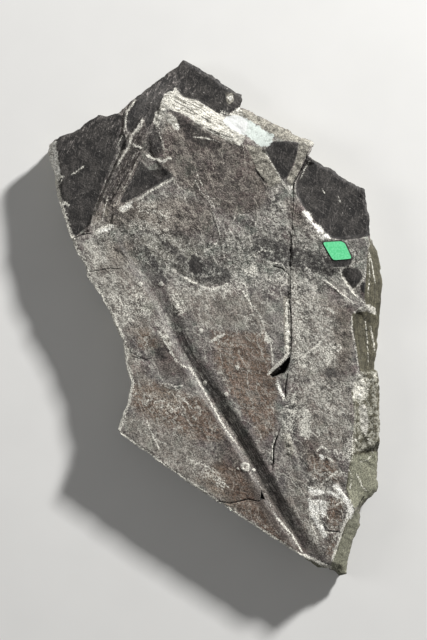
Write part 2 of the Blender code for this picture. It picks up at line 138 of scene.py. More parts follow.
def depth_inside(spots, area):
    """Distance of each spot to the edge of an area, positive inside it and negative outside."""
    ring = np.vstack((area, area[:1]))
    distance = along_line(spots, ring)[0]
    crossings = np.zeros(len(spots), int)
    for start, end in zip(ring, ring[1:]):
        spans = (start[1] > spots[:, 1]) != (end[1] > spots[:, 1])
        rise = end[1] - start[1] if end[1] != start[1] else 1.0
        reach = start[0] + (spots[:, 1] - start[1]) * (end[0] - start[0]) / rise
        crossings += spans & (reach > spots[:, 0])
    return np.where(crossings % 2 == 1, distance, -distance)


def ripple(spots, size, seed, stretch=1.0, turn=0.0):
    """Smooth noise of about plus or minus 1. stretch lengthens it along the turn angle."""
    cosine, sine = math.cos(turn), math.sin(turn)
    along = (spots[:, 0] * cosine + spots[:, 1] * sine) / (size * stretch)
    across = (spots[:, 1] * cosine - spots[:, 0] * sine) / size
    return 1.7 * np.array([noise.noise((a, b, seed)) for a, b in zip(along, across)])


def crags(spots, size, seed):
    """Sharper noise in several sizes, about 0 to 1, for broken stone."""
    return np.array([
        noise.multi_fractal((x / size, y / size, seed), 0.9, 2.1, 4) for x, y in spots
    ]) - 1.0


def flakes(spots, size, seed, levels=3):
    """Noise cut into flat terraces, like thin sheets of shale that have come away."""
    height = (ripple(spots, size, seed) + 1) * levels / 2
    floor = np.floor(height)
    return (floor + smooth(height - floor, 0.0, 0.18)) / levels


# Slab: outlines and lines of its face
OUTLINE_PX = points("""
183.3,58.3 196,65.3 212,73.3 222.7,82.7 242,93.7 243,98.3 240,106.7 248,108.7 260,115.7 288,128.3
294.7,134.3 312.7,140.7 315,143.7 308.7,155.7 316.7,161 332.8,168.8 341.6,176 352,182.4 365.6,188.8 368,208
370.4,218.4 370.4,234.4 378.4,250.4 380,258.4 384,282 381,311 377.4,355 375.2,369.6 378.4,371.2 380.4,392
381,425 378,478 379.6,486 378,493 365.2,504.4 361.6,510 361.2,526 351.6,550 349.2,562 347.6,575.6
339.6,577.6 335.6,573.2 326,568.4 318,567.6 308.4,561.2 262,531 217,502 168,468.5 120,434 117.5,430
122,415.3 128,398.7 131.3,382.7 125.3,363.3 122.7,340.7 113.3,324.3 112.7,318.3 104,303 100,295 86.7,276.3
86,266.3 78,255 69.3,235 65.7,223.4 56.5,194 54.7,179.3 47,149.7 48.7,143 59.3,136.3 77.3,129 98,114.3
107.3,116 119.3,111.7 136.7,95.7 159.3,78 177.3,65.3
""")
GROOVE_PX = points("""
122,236 142,272 167,315 181,348 200.5,381.5 222.5,415.5 235.5,436 253,465.5 268,494 288.5,527 305,550
320,571
""")
BELT_PX = [(118, 236), (190, 262), (262, 258), (345, 262)]
PAPER_PX = [(322.5, 242.2), (341, 241.2), (345, 243.4), (352, 258.6), (333, 260.2)]
GAP_PX = points("""
292.2,346 290,356 281,365 269.5,374.4 271.6,378.4 285.2,373 288.4,368 290.6,358.4
""")
HOLE_PX = [(261.3, 490), (259.3, 500), (265.3, 500)]
# Pale rim of broken stone along the left and the lower left edge
LEFT_RIM_PX = points("""
48.7,143 47,149.7 54.7,179.3 56.5,194 65.7,223.4 69.3,235 78,255 86,266.3 86.7,276.3 100,295 104,303
112.7,318.3 122.7,340.7 125.3,363.3 131.3,382.7 128,398.7 122,415.3 117.5,430
""")
FOOT_RIM_PX = OUTLINE_PX[45:50][::-1] + [(303, 557.6)]
# The break between the main face and the fibrous bed on its left, eased into a slope
EASED_BREAK_PX = [(160, 104), (158.7, 116.7), (154, 122), (151, 135), (151, 150), (160, 165)]

# The long crack of the solid, filled in before the thin cracks are cut: depth and half width
# in millimetres
SOLID_CRACK_PX = [(294, 184), (292.4, 230), (290.8, 273), (290, 302), (291, 348)]
SOLID_LOWER_CRACK_PX = [(277.3, 436), (273.7, 446), (273.3, 463.3)]
SOLID_CRACK_DEPTH = 1.2
SOLID_CRACK_REACH = 0.9
# How far the solid's worn edge falls, and over what width
EDGE_WEAR = 0.9
EDGE_WEAR_WIDTH = 1.3

# Thin cracks, darkened with painted shade: half width and depth in millimetres, then the line
CRACKS_PX = rows("""
0.26 0.8 307.3,155.7 303.3,165 298.7,174.3 294,182.3 293,190
0.1 0.2 293,190 293.6,204 292.2,218 292.4,230 291.2,246
0.14 0.4 291.2,246 290.4,260 290.8,273.2 290.4,286 289.7,302
0.2 0.6 289.7,302 291,318 291,348
0.16 0.4 255,168 258,174 263,180 267,183
0.18 0.4 358,509.7 361,503 364.6,497.2
201,115.5 204,118 208,120
0.12 0.3 183,99.5 191,103 200,107.5 206,112
0.14 0.3 210,129.8 218,132.5 226,136 233,138
0.12 0.3 172,99 182,104.5 194,112
0.18 0.4 327,531 334,531.5 341,532.5
0.22 0.7 287.6,374.4 285.2,388.8 285.2,396.8
0.26 0.9 277.3,436 273.7,446 273.3,463.3
0.2 0.5 262,499 258,501.3 248,499.3 239.3,501.3 230,503.3 222,502.3 217.3,501.7
0.22 0.6 72.7,238.3 80.7,235 90.7,233
0.16 0.3 90,271.7 110.7,268.3 120,269
104.7,301.7 109.3,301
0.18 0.3 133,356.5 141,358.5 150,359
130,352 138,356 148,361
0.18 0.4 273,266 282,268.4 289.2,274.8
""")
# Small ledges, low on the left of each line walked along: drop and fade in millimetres
LEDGES_PX = rows("""
0.3 3 170,268 181,276 192,282.5 208,289 218,287 229,281
0.3 4 321,278 326,281 332.4,286 340.4,294 346.8,298 356.4,306
339.6,267.6 342,278 350,289 355.6,296.4 366,305
0.35 3 145,154 155,159 163,162 168,158 171.5,159
326,490 335.6,484 349,501
0.3 3 276.4,382.4 281,392 284.4,400
232,216 247,214 256,224 252,238 240,244
0.25 3 262,196 276,190 290,196
196,246 216,240 234,248
300,244 316,252 326,268
""")
# Low folds and veins of the leaf: height and half width in millimetres
FOLDS_PX = rows("""
0.22 1.1 193,176 200,190 211,205 217,222 222,245 226,265 229,280
0.2 1 241,288 250,308 260,330 268,348
0.3 0.9 158,324 162,337 170,350 176.7,361
0.14 0.8 176,318 190,347 204,372 216,392
0.2 0.9 283,420 288,440 294,462 300,482
0.12 0.7 147,421 153,438 160,452
""")
# Fibrous splinters: height and half width in millimetres
SPLINTERS_PX = rows("""
0.28 0.7 135.5,99.5 127,112 125.5,118 125,130 119,142 119,151
0.22 0.9 144,118.5 137,130 131,138 129,146 123.5,155 113,172 104,192 97,206
0.22 0.6 132,143.5 136,146 141.5,148
139,148 129,164 118,186 110,205 106,216
0.22 0.5 137.5,159 132,172 126,185 119,197 114,209
0.19 0.5 133,152 122,170 110,192 100,214
0.15 0.4 128,168 118,190 111,200
117,158 107,178 99,196 92,214
108,196 104,210 102,222
0.12 0.4 112,128 112,146 108,166
150,112 146,124 145,136
120,120 118,132 114,148
""")
# Thin pale scratches, broken edges, soft pale bands, and painted highlights on lit ledges and rims: strength,
# and half width in millimetres
PALE_LINES_AND_HIGHLIGHTS_PX = rows("""
1.5 0.5 212,341 218,337 224,334.5
290.4,348 286.5,356 278.5,364 268,374
0.9 0.35 221,480.7 226,485 229,488
276,437 272.4,446 272,462
294,313.5 301,316.7 308,318.7
54.7,187 58,178 63,176
0.8 0.35 204,463 209,468 215,473
178,395 186,402 192,408
71.3,174.3 77,171 84,165.7
324,456 329,458 334,462
335,449 338,454 342,452
0.7 0.35 190,415 197,420
271,342 272,355 273,367
341,471 345,474 348,473
0.7 0.3 173,387 179,385.5 184,386
134,389 136,395
0.8 0.4 329,472 339,477
147,421 150,430 156,443 160,450
316,452 322,446 330,452
335,506 344,500 352,508
238,282 245,284 247,292 250,302
323,500 324,510 329,520
1 0.45 175,178 160,186 147,193 138,200
302,359 308,352 316,347 324,338
1.2 1.1 131,203 125,207.5 120,210
1.2 1 95.5,233 103,229 112,225.5
265.5,337 268,339 271,342
0.6 0.35 58.7,185 64,175.7
242,262 252,256 262,250 274,252
260,276 268,280 280,279 286,272 282,264 272,262
108,196 104,210 102,222
310,160 304,170 300,180
193,137 206,138 220,142
158,132 162,140 164,150
283,432 288,446 292,462
323,532 333,533 342,532
349,267 356,263 366,260
352,313 352,330 356,350 359,373
361,372 366,388 372,380 378,372
368,437 372,446 374,454
0.7 0.55 339.6,267.6 342,278 350,289 355.6,296.4 366,305
0.7 0.45 321,278 326,281 332.4,286 340.4,294 346.8,298 356.4,306
158,324 162,337 170,350 176.7,361 183,366 191,369 200,384 206,395 216,412 226,430 232.7,438.7 240.7,450
135.5,99.5 127,112 125.5,118 125,130
307,508 312,524 318,540
320,486 330,476 340,470
0.6 0.45 366,266 364.4,278 360.4,283.6 356.4,286.8
0.7 0.6 184,277 190,281 198,284
223,300 226,292 231,284
0.9 0.45 208,289.5 216,288.5 229,284
0.9 2 305,408 306,422 305,438
0.5 0.3 160,383 170,384 178,390 186,400 190,410
163,390 172,393 180,402 186,412
172,398 180,408 184,418
228,312 240,315 254,321
196,172 202,184 208,196 216,200
176,182 184,196 190,212
300,262 310,270 318,280
300,330 308,350 312,370
318,320 326,340 330,362
312,392 324,400 336,398
193,176 200,190 211,205 217,222 222,245 226,265
262,226 272,214 288,208
232,216 247,214 256,224 252,238
365,316 368,340 369,366
369,252 370,276 368,296
348,468 352,476 350,490
148,152 156,158 166,161
0.35 0.4 246.7,460 251,475 258.4,482 268,500 278.4,522 290,537 304,553
0.9 0.55 276.4,382.4 281,392 284.4,400
0.8 0.7 144,118.5 137,130 132,134.5
0.6 0.5 132,134.5 129,146 123.5,155 116,167
0.5 0.35 125,130 119,142 119,151 116,160
0.9 0.5 132,143.5 136,146 141.5,148
64,202 67,204 69,206
240,106.6 235,111 229,114.6
1 0.5 145,154 155,159 163,162 168,158 171.5,159
0.45 0.3 137.5,159 132,172 126,185 119,197 114,209
0.28 0.3 139,148 129,164 118,186 110,205
113,172 104,192 97,206 91,220
117,158 107,178 99,196
0.4 0.3 197,176 205,192 215,208 221,224
0.7 0.4 241,288 250,303 259,313 264,327 267,338
1 0.4 331,348 336,347 340,345 341,348 337,352
204.5,250.5 211,247.5 216.5,243
0.9 0.4 322,307.5 331,310 334,314
329,478 333,474 337,471
330,492 338,496 344,502 350,507
0.5 4 326,344 330,356 324,364
0.5 3 296,350 300,362 308,366
296,284 296,310 298,345
290,404 291,420 288,440
222,290 232,286 242,288
0.6 0.4 264,151 274,167 284,184 291,196
371,326 374,340 376,352
1 0.6 288,186 291,190
0.6 0.3 338,196 341,202
322,188 325,193
366,240 372,262 376,284
1.1 0.55 310,514 318,522 322,532 326,535
1.3 0.45 350.6,502.4 349,515.6 343.2,526.6 338.8,540.6 334.4,553 332.2,560.4
0.5 0.4 360,462 367,461 373,456
357,474 360,480 363,488 368,492
1.4 0.9 314,502 316,512 319,522 324,535
0.5 2.6 292,392 293,405 294,420
0.45 4 130,285 140,300 146,318
112,290 122,306 132,322
0.4 4 135,205 155,212 172,218
0.55 2.6 172,292 178,305 184,314
0.4 3 186,456 206,470 226,490
0.42 4 128,222 150,226 170,234
0.75 2.5 246,272 258,268
0.7 2.4 361,376 363,390 360,400
0.6 2 352,436 349,450 347,462
0.42 3.5 146,398 162,404 180,412
0.7 0.8 124,437 150,455 168,467.5 192,485 217,501
221,111 228,114
1.2 0.5 333,486 341,494 349,506
1.1 0.35 278,518 284,526 292,535 302,552
1.2 0.8 287.6,300 287.8,320 288.2,349
1.4 0.6 303.5,555.3 314,560 324,565 331.5,568
1.4 1.6 50,146 51,156 54,170
0.25 0.3 128,138 120,156 112,172
143,157 138,170 129,185 119,198
141,153 134,166 124,182 116,194 111,206
122,162 114,176 106,190 102,200
136,152 130,160 122,174
""")
# Round nodules: centre, radius and height in millimetres
NODULES_PX = [
    ((161, 284), 1.6, 0.45), ((176.5, 307), 1.8, 0.50), ((140, 284), 1.5, 0.40),
    ((201, 331), 1.4, 0.35), ((237, 367), 1.5, 0.35), ((254, 470), 1.2, 0.45),
    ((238, 468.7), 0.8, 0.35), ((166, 337), 1.6, 0.45), ((170, 344), 1.4, 0.40),
    ((205, 383), 1.5, 0.30), ((226, 394), 1.4, 0.30), ((176, 127), 1.6, 0.40),
    ((171, 352), 1.2, 0.35),
]
RING_NODULE_PX = (245.3, 467)
RING_RADIUS = 2.0
# Where the face is rough: strength, and the area
ROUGH_AREAS_PX = rows("""
1 100,236 160,228 205,232 250,215 292,196 306,212 330,238 356,262 340,290 300,300 262,292 232,284 208,292 \
185,284 165,270 140,268 110,262
0.7 160,108 206,128 232,138 262,150 276,172 284,200 250,215 205,232 160,228 114,226 118,210 168,175 151,150
0.6 292,300 350,300 356,380 350,480 330,560 306,540 280,480 284,400
0.5 95,236 118,262 150,320 170,360 128,360 112,320 84,262
0.6 146,112 150,132 143,150 150,160 138,172 121,208 112,226 91,226 104,190 122,158 134,130
1 296,440 334,448 350,480 346,520 330,556 312,540 300,500
""")

# The edge of the wide olive break on the right side
SIDE_EDGE_PX = points("""
372,236 368.8,240 366.8,266 364.4,296.4 366,305 352,314 351.6,320 354.8,340 360.4,372.8 354,384 351.2,392
354.8,416 350,460.8 346,488 347.6,496 354.8,509.2 346,522.8 334.8,551.6 330,570
""")

# Zones of colour, by the names of their masks
ZONES_PX = {
    # Smooth dark bedding planes, and a small painted shadow below a step in the groove
    "dark": areas("""
183,40 256,92 240,106 226,115 217,112 209,107 196,99 184,96.5 179.3,91 176,90 167,92 161,104 155,118 150,126 \
146,128 144,118 137,129 132,133 127,131 126,118 128,112 136,100 128,90 160,62
56,138 77,125 98,110 116,112 122,116 120,130 116,150 110,166 104,180 99,196 92,215 90.7,224 83,230 76,236 \
70,232 63,206 58,178
119,135 124,134 127,140 126,148 122,151 119,146
139,159 149,170 165,169 174,175.5 155,186 133,198 121,204 120,200 128,186 137,167
307,157 316,157 342,172 372,186 376,234 360,238 345,240 332,238 319.5,226 311,216 303,206 296,194 \
296.4,182.6 301,172
265,149 273,141.6 286,141 298.5,142 296.5,155 292,168 286,178 281,180 274,166
343,268 358,268 363,276 358,284 353,289 349,284 343,274
190,252 192.5,255 195,253 196.5,257 200,256 199,261 203,264 202,270 203,274 198,273 196,276 192,272 188,272 \
190,266 187,263 191,259
361,282 367,284 366,294 361,291
331,260 352,259 352,264 345,267 334,267
370,374 378,373 377,379 371,386
371,483 375.6,484 375,491 371,490
359,507 365,498 366,500 361,508
347,524 349.5,520 350.5,521 348.4,525
201,116 205,114.5 209,119 206,121
208,119 212,121 213,124.5 210,123
174,311.5 178,313 177,317 173,316
"""),
    # Duller patches, softer than the planes, and a painted shadow line along cracks by the dark oval
    "dim": areas("""
194,256 212,262 230,270 232,282 216,285 204,280 192,268
252,236 270,238 290,246 302,262 286,268 268,260 254,250
140,244 146,246 160,266 170,284 164,284 150,264
292,248 322,252 338,268 332,278 312,272 294,266
304,262 318,257 334,262 338,270 328,275 312,271
156,347 164,348 168,359 160,361 154,354
286,398 296,402 297,430 294,440 290,440 284,420
256,168 262,171 268,182 263,184 257,176
174,112 186,119 200,128 212,137 226,146 216,150 200,146 188,138 179,126
147,136 152,132 158,132 161,137 162,145 163,152 158,157 150,154 145,148
294,452 299,474 297,476 292,456
140,122 134,132 131,140 124,154 112,176 104,196 101,204 109,206 118,194 130,170 142,152 144,138 147,128
108,150 116,140 120,150 112,170 104,186 100,190
318,500 320,514 327,530 324,530 317,514
157,237 166,241 178,249 190,263 187,267 174,256 161,244
324,368 336,368 338,377 326,378
"""),
    # Wide areas where the whole face is darker
    "dusk": areas("""
170,112 200,126 232,142 256,152 266,176 270,200 252,214 226,214 204,200 180,186 160,166 162,130
108,200 140,204 176,196 214,206 214,232 180,236 140,228 104,226
214,436 240,436 262,480 290,530 270,530 226,500 216,476
248,470 256,474 286,516 310,552 296,556 270,514
144,122 146,150 130,190 114,222 94,222 106,190 122,156 134,132
336,306 352,306 354,346 340,350
262,366 274,366 276,400 264,404
200,398 216,398 222,424 206,426
150,334 172,336 186,378 164,376 152,354
232,198 246,196 254,206 246,216 234,214
104,240 134,240 138,262 112,264
286,200 300,204 306,226 292,226
334,330 352,330 352,372 338,376
210,410 228,412 234,436 218,436
300,440 320,440 320,462 304,462
"""),
    # Where long pale filaments lie on the split stone
    "fibrous": areas("""
146,112 148,134 140,160 124,200 112,226 91,226 104,190 120,158 132,132
56,140 80,127 98,112 122,117 120,150 108,152 96,134 80,144 66,158 57,158
180,62 196,74 194,90 184,92 178,88 150,98 132,92 160,66
"""),
    # Brown stains
    "brown": areas("""
212,331 264,333 275,380 276,430 262,440 250,420 232,396 216,366
135,328 153,330 156,346 138,350
130,384 150,380 203,401 226,440 196,440 150,420 130,404
222,462 240,468 262,508 290,548 270,536 222,500 196,478
306,452 334,459 340,480 322,486 308,470
328,497 345,497 342,520 334,534 326,520
328,535 338,534 334,552 330,564 326,552
"""),
    # Chalky crumbs
    "chalk": areas("""
84,240 104,234 118,244 120,258 100,266 90,258
297,410 305,409 310,420 309,434 300,436
94,276 112,272 130,300 136,322 124,330 112,312
292,306 312,300 326,316 346,330 346,350 324,372 300,368 294,340
304,384 322,378 340,384 346,412 332,426 318,410
262,206 288,200 292,232 276,240 258,232
296,216 308,220 324,244 320,256 300,244
226,222 240,226 246,240 232,246 224,236
165,270 190,284 229,284 224,292 190,296 166,282
232,278 250,268 284,276 288,286 262,290 240,288
160,190 186,196 196,216 186,232 160,226 146,220 146,202
156,110 172,114 184,126 178,140 160,128
196,266 212,270 230,276 226,286 206,288
330,262 350,264 364,300 350,302 336,284
154,320 164,318 178,346 172,354 160,340
300,478 314,470 330,478 330,494 312,494
292,276 312,276 322,296 304,302 292,296
"""),
    # Lighter patches of the leaf's layer, smooth and soft-edged
    "light": areas("""
84,246 106,240 124,262 142,300 152,330 128,342 108,306
180,286 232,290 262,300 272,330 240,330 206,326 186,310
292,290 330,296 352,318 350,356 330,384 300,378 292,350
298,384 346,378 352,420 346,452 318,446 300,420
122,416 150,412 190,436 222,470 236,506 214,498 166,464 128,434
283,432 292,430 296,458 288,462
290,470 310,480 312,520 326,540 318,560 300,530 286,500
120,340 134,348 150,380 140,392 128,378
103,193 112,224 91,224
299,404 311,403 313,424 311,442 304,446 299,428
136,240 166,236 196,240 204,258 184,262 160,262 144,252
248,146 262,152 272,180 262,190 252,176
128,282 146,284 160,310 152,322 134,318
170,286 184,292 190,308 180,312 170,300
132,200 172,206 176,222 150,226 132,216
290,274 300,276 302,350 292,352
290,392 300,392 300,420 290,424
148,388 176,392 186,410 160,408
180,448 214,468 236,500 214,496 184,470
"""),
    # Stone of fresh breaks, white and cream
    "fresh": areas("""
160.5,103 164,94 170,90 173.5,91 174.5,84 177.5,90 184,96.7 196,99.3 208.7,106.7 216.7,112 226,115.3 240,107 \
246,112 236,120 246,138 240,146 228,141 216,135 205,129 195,122 185,115 175,111 168,109 161,111
155,112 161,108 164,114 161,121 156,128 153,122
165,116 171,114 177,119 179,127 175,130 172,125 167,122
46,140 56,141 56,152 58.5,162 61,178 57,182 50,160
352,313 360,307 370,304 376,308 377,315 366,311 356,313
303,140 316,140 315,146 307,146
357,374 361,374 364,390 362,400 353,398 353,388
359,406 366,404 369,420 367,436 361,430 360,416
"""),
    # White chips and chalk, brighter than the cream breaks
    "white": areas("""
302.5,211 309,211 313.5,219.5 310.5,223 306,219
312,223 319.5,224.5 324,230.5 320.5,235 315,231
318.5,234.5 328.5,234 331,239 323,239.3
347,502 352,504 354,511 351,519 346,518 348,510
308,498 314,500 319,500 319.5,514 314,516 309,510
309,487 316,490 326,490 326,494 316,495 309,495
319.7,500 325.6,500 326.5,515 323,518 320,512
332.5,485 337,484.5 343,492 350,501 352.5,508 346,505 337,492
327,490 333,492 339.5,496.5 338,498.5 331,494.5 326,492.5
309,513 315,515 323,526 328.5,537 324,538 314,522
47,142 56,141 57,150 58,162 60,172 57,180 51,166 47,150
319.5,454 323.5,455 323,460 320,459
277,378 280,384 284.5,396 282,396 278,388
120,207 126,205 132,202 131,206 122,211
95,233 103,229 113,224.5 113,227.5 104,231
288,186 292,187 291.5,191 288.5,190
227,96 231,94 233,97 230,100
176,124 178,123 179.5,128 177.5,129.5
"""),
    # Greyish breaks, duller than the cream ones, and a painted highlight on the chamfer left of the long
    # crack
    "pale": areas("""
240,104 264,116 290,128 318,140 303,143 284,140 274,136 262,127 244,116
299,143 311,144 300,170 292,186 286,180 293,168 297,155
246,144 262,148 274,166 282,182 270,188 256,168
283.4,296 289.6,296 290.2,348 286.5,354 284,340
226,92 233,92 234,100 229,104 226,99
283,434 290,432 294,452 290,458 285,446
"""),
    # Painted light on the olive wall, lighter low down and on the foot where it faces away from the key lamp
    "painted_lit_side": areas("""
304,556 324,565 333,560 344,532 352,512 364,506 364,540 352,582 318,582 300,564
352,456 384,452 384,500 364,506 354,512 347,492
"""),
    "mottled": areas("""
350,374 366,372 384,370 386,450 352,452 350,416
"""),
    "side": [
        SIDE_EDGE_PX + [(330, 600), (410, 600), (410, 236)],
        [(306, 557.5), (324, 566.5), (331, 569.5), (340, 585), (320, 580), (302, 565)],
    ],
    # Bare white paint, and the end of it that lies thickest
    "paint": areas("""
223.5,119 226.4,115.8 234.4,114 241,116 248,118.6 256,124 264,129.8 274,134.4 272,141 268,145.8 261.6,146.6 \
255.2,142.6 248,136.2 238.4,133 230.4,128.2 223.2,122.6
"""),
    "thick_paint": areas("""
220,116 234,112 246,116 249,127 244,136 228,130 220,124
"""),
    "glue": [PAPER_PX],
}


# Slab: a finer copy of the frame's solid
FACE_EDGE_LENGTH = 1.3 * MM
FINE_EDGE_LENGTH = 0.55 * MM
SIDE_EDGE_LENGTH = 1.6 * MM
BACK_EDGE_LENGTH = 4.0 * MM
FINE_REACH = 0.7 * MM
SHARP_ANGLE = math.radians(24)
REFINE_PASSES = 5
# The upright part of a normal, which tells the face from the walls and the walls from the back
FACE_NORMAL = 0.2
RIM_NORMAL = 0.3
BACK_NORMAL = -0.7
BACK_EDGE_NORMAL = -0.5
# How far from the groove the face is relaxed, and how near its break is eased, in millimetres
GROOVE_KEPT = 7.0
BREAK_EASED = 5.5
CHIP_DEPTH = 0.65 * MM
LEAST_ROUGHNESS = 0.40
# A depth in millimetres that counts as far outside every zone, and how near a line has to be
FAR_OUTSIDE = -6.0
LINE_REACH = 3.0


def circle_px(centre, radius):
    """A ring of points round a centre in pixels. The radius is in millimetres."""
    reach = radius * MM / METRES_PER_PIXEL
    return [
        (centre[0] + reach * math.cos(turn), centre[1] + reach * math.sin(turn))
        for turn in np.linspace(0, 2 * math.pi, 9)
    ]


def fine_line_tree():
    """Spots along every thin line of the face, where the mesh is made finest."""
    lines = [row[-1] for row in CRACKS_PX + LEDGES_PX + PALE_LINES_AND_HIGHLIGHTS_PX + SPLINTERS_PX + FOLDS_PX]
    lines += [FOOT_RIM_PX, LEFT_RIM_PX]
    lines += [circle_px(RING_NODULE_PX, share * RING_RADIUS) for share in (0.6, 1.2)]
    lines += [circle_px(centre, 0.6 * radius) for centre, radius, height in NODULES_PX]
    lines += [area + area[:1] for area in (GAP_PX, HOLE_PX, PAPER_PX)]
    spots = []
    for line in map(place, lines):
        for start, end in zip(line, line[1:]):
            steps = max(1, int(np.hypot(*(end - start)) / (0.6 * MM)))
            spots += [start + (end - start) * step / steps for step in range(steps + 1)]
    tree = kdtree.KDTree(len(spots))
    for index, spot in enumerate(spots):
        tree.insert((spot[0], spot[1], 0), index)
    tree.balance()
    return tree


def longest_edge(edge, tree):
    """How long an edge may stay, by where it lies."""
    middle = (edge.verts[0].co + edge.verts[1].co) / 2
    upward = max(face.normal.z for face in edge.link_faces)
    if upward < BACK_EDGE_NORMAL:
        return BACK_EDGE_LENGTH
    if upward < FACE_NORMAL:
        return SIDE_EDGE_LENGTH
    if tree.find((middle.x, middle.y, 0))[2] < FINE_REACH:
        return FINE_EDGE_LENGTH
    return FACE_EDGE_LENGTH


def refined_slab():
    bm = bmesh.new()
    bm.from_mesh(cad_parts["slab"].data)
    bmesh.ops.remove_doubles(bm, verts=bm.verts, dist=0.002 * MM)
    for edge in bm.edges:
        edge.smooth = edge.calc_face_angle(0) < SHARP_ANGLE
    tree = fine_line_tree()
    for step in range(REFINE_PASSES):
        bm.normal_update()
        long_edges = [edge for edge in bm.edges if edge.calc_length() > longest_edge(edge, tree)]
        if not long_edges:
            break
        bmesh.ops.subdivide_edges(bm, edges=long_edges, cuts=1)
        wide = [face for face in bm.faces if len(face.verts) > 3]
        bmesh.ops.triangulate(bm, faces=wide)
    return bm


def relax(bm):
    """Rounds the flat facets of the face, keeps its ledges and its outline, and eases a break."""
    on_face = [vert for vert in bm.verts if vert.normal.z > 0.5]
    off_groove = from_lines(np.array([vert.co.xy for vert in on_face]), GROOVE_PX) > GROOVE_KEPT
    smooth_round = [all(edge.smooth for edge in vert.link_edges) for vert in on_face]
    free = [vert for vert, ok in zip(on_face, smooth_round) if ok]
    wide_open = [vert for vert, ok, away in zip(on_face, smooth_round, off_groove) if ok and away]
    steep = [vert for vert in bm.verts if vert.normal.z > -0.3 and vert.co.z > 8 * MM]
    spots = np.array([vert.co.xy for vert in steep])
    at_break = from_lines(spots, EASED_BREAK_PX) < BREAK_EASED
    at_break &= depth_inside(spots, place(OUTLINE_PX)) > 0.5 * MM
    eased = [vert for vert, near in zip(steep, at_break) if near]
    for verts, times in ((free, 5), (wide_open, 30), (eased, 140)):
        for step in range(times):
            bmesh.ops.smooth_vert(bm, verts=verts, factor=0.5, use_axis_z=True)


def mesh_arrays(mesh):
    """The places and the normals of a mesh's vertices."""
    arrays = []
    for name in ("co", "normal"):
        flat = np.empty(len(mesh.vertices) * 3)
        mesh.vertices.foreach_get(name, flat)
        arrays.append(flat.reshape(-1, 3))
    return arrays


def near_box(spots, corners, margin):
    """Which spots lie in the box round some corners, or within a margin of it."""
    low = corners.min(axis=0) - margin
    high = corners.max(axis=0) + margin
    return np.all((spots > low) & (spots < high), axis=1)


def zone_depth(spots, zone_areas):
    """Depth in millimetres inside the nearest of several areas, negative outside them."""
    best = np.full(len(spots), FAR_OUTSIDE)
    for corners in map(place, zone_areas):
        near = near_box(spots, corners, -FAR_OUTSIDE * MM)
        best[near] = np.maximum(best[near], depth_inside(spots[near], corners) / MM)
    return best


def line_cone(spots, lines):
    """Falls from each line's strength to nothing at twice its half width."""
    best = np.zeros(len(spots))
    for strength, half_width, line in lines:
        corners = place(line)
        near = near_box(spots, corners, LINE_REACH * MM)
        distance, side, share = along_line(spots[near], corners)
        height = strength * (0.5 + 0.5 * fading_ends(share, 0.08))
        best[near] = np.maximum(best[near], height * (1 - distance / MM / (2 * half_width)))
    return best


def roughness_of(spots):
    rough = np.full(len(spots), LEAST_ROUGHNESS)
    for strength, outline in ROUGH_AREAS_PX:
        rough = np.maximum(rough, strength * smooth(zone_depth(spots, [outline]), -2, 2))
    return rough * (1 - 0.85 * smooth(zone_depth(spots, ZONES_PX["dark"]), -0.3, 0.5))


def face_relief(spots, slope):
    """Fine relief of the face, in metres, added to the solid's own height."""
    breaks = zone_depth(spots, ZONES_PX["fresh"] + ZONES_PX["pale"])
    broken = np.maximum(smooth(breaks, -0.3, 0.3), slope)
    rough = np.maximum(roughness_of(spots), 1.1 * broken)
    # Heights in millimetres of noises whose first numbers are their size and seed
    relief = rough * 0.26 * crags(spots, 3.0 * MM, 1.3)
    relief += rough * 0.12 * ripple(spots, 1.7 * MM, 4.7)
    relief += rough * 0.40 * (flakes(spots, 7.0 * MM, 9.2) - 0.5)
    relief += rough * 0.20 * (flakes(spots, 3.2 * MM, 5.2, 2) - 0.5)
    relief += 0.06 * ripple(spots, 9.0 * MM, 6.6, 3.0, math.radians(-60))
    relief += broken * 0.40 * ripple(spots, 1.8 * MM, 2.9, 3.0, math.radians(-24))
    for half_width, depth, line in CRACKS_PX:
        relief -= depth * (1 - smooth(from_lines(spots, line), 0.25 * half_width, 1.9 * half_width))
    for drop, fade, line in LEDGES_PX:
        distance, side, share = along_line(spots, place(line))
        low = smooth(distance / MM, 0, 0.4) * (1 - smooth(distance / MM, 0.4, fade))
        relief -= np.where(side > 0, drop * fading_ends(share, 0.15) * low, 0)
    uneven = 1 + 0.5 * ripple(spots, 3.0 * MM, 5.5)
    for height, half_width, line in FOLDS_PX + SPLINTERS_PX:
        distance, side, share = along_line(spots, place(line))
        section = 1 - smooth(distance / MM, 0.1, half_width * 1.3)
        relief += height * fading_ends(share, 0.12) * uneven * section
    for centre, radius, height in NODULES_PX:
        relief += height * (1 - smooth(from_point(spots, centre), 0.2 * radius, radius))
    away = from_point(spots, RING_NODULE_PX)
    relief += 0.60 * np.exp(-((away - RING_RADIUS * 0.75) / 0.5) ** 2)
    relief -= 0.60 * (1 - smooth(away, 0, RING_RADIUS * 0.55))
    under_paper = smooth(zone_depth(spots, [PAPER_PX]), -2.2, -0.6)
    return MM * relief * (1 - under_paper)


def bed_noise(places, bed_height, way_length, seed):
    """Noise in level beds: quick change with height, slow change along the stone."""
    return np.array([
        noise.noise((x / way_length, y / way_length, z / bed_height + seed)) for x, y, z in places
    ])


def side_relief(places):
    """How far the broken side walls stand back from the solid, in metres."""
    beds = 1.0 * bed_noise(places, 1.3 * MM, 25 * MM, 2.0)
    chunks = 0.8 * bed_noise(places, 4.0 * MM, 7 * MM, 11.0)
    return MM * np.clip(0.30 + beds + chunks, 0, 1.2)


def fill_solid(spots):
    """Undoes the solid's wide crack, and its worn edge where the rim is freshly broken."""
    distance = from_lines(spots, SOLID_CRACK_PX, SOLID_LOWER_CRACK_PX)
    fill = SOLID_CRACK_DEPTH * np.clip(1 - distance / SOLID_CRACK_REACH, 0, 1)
    broken_rim = from_lines(spots, LEFT_RIM_PX, FOOT_RIM_PX)
    return MM * (fill + 0.85 * EDGE_WEAR * np.clip(1 - broken_rim / EDGE_WEAR_WIDTH, 0, 1))


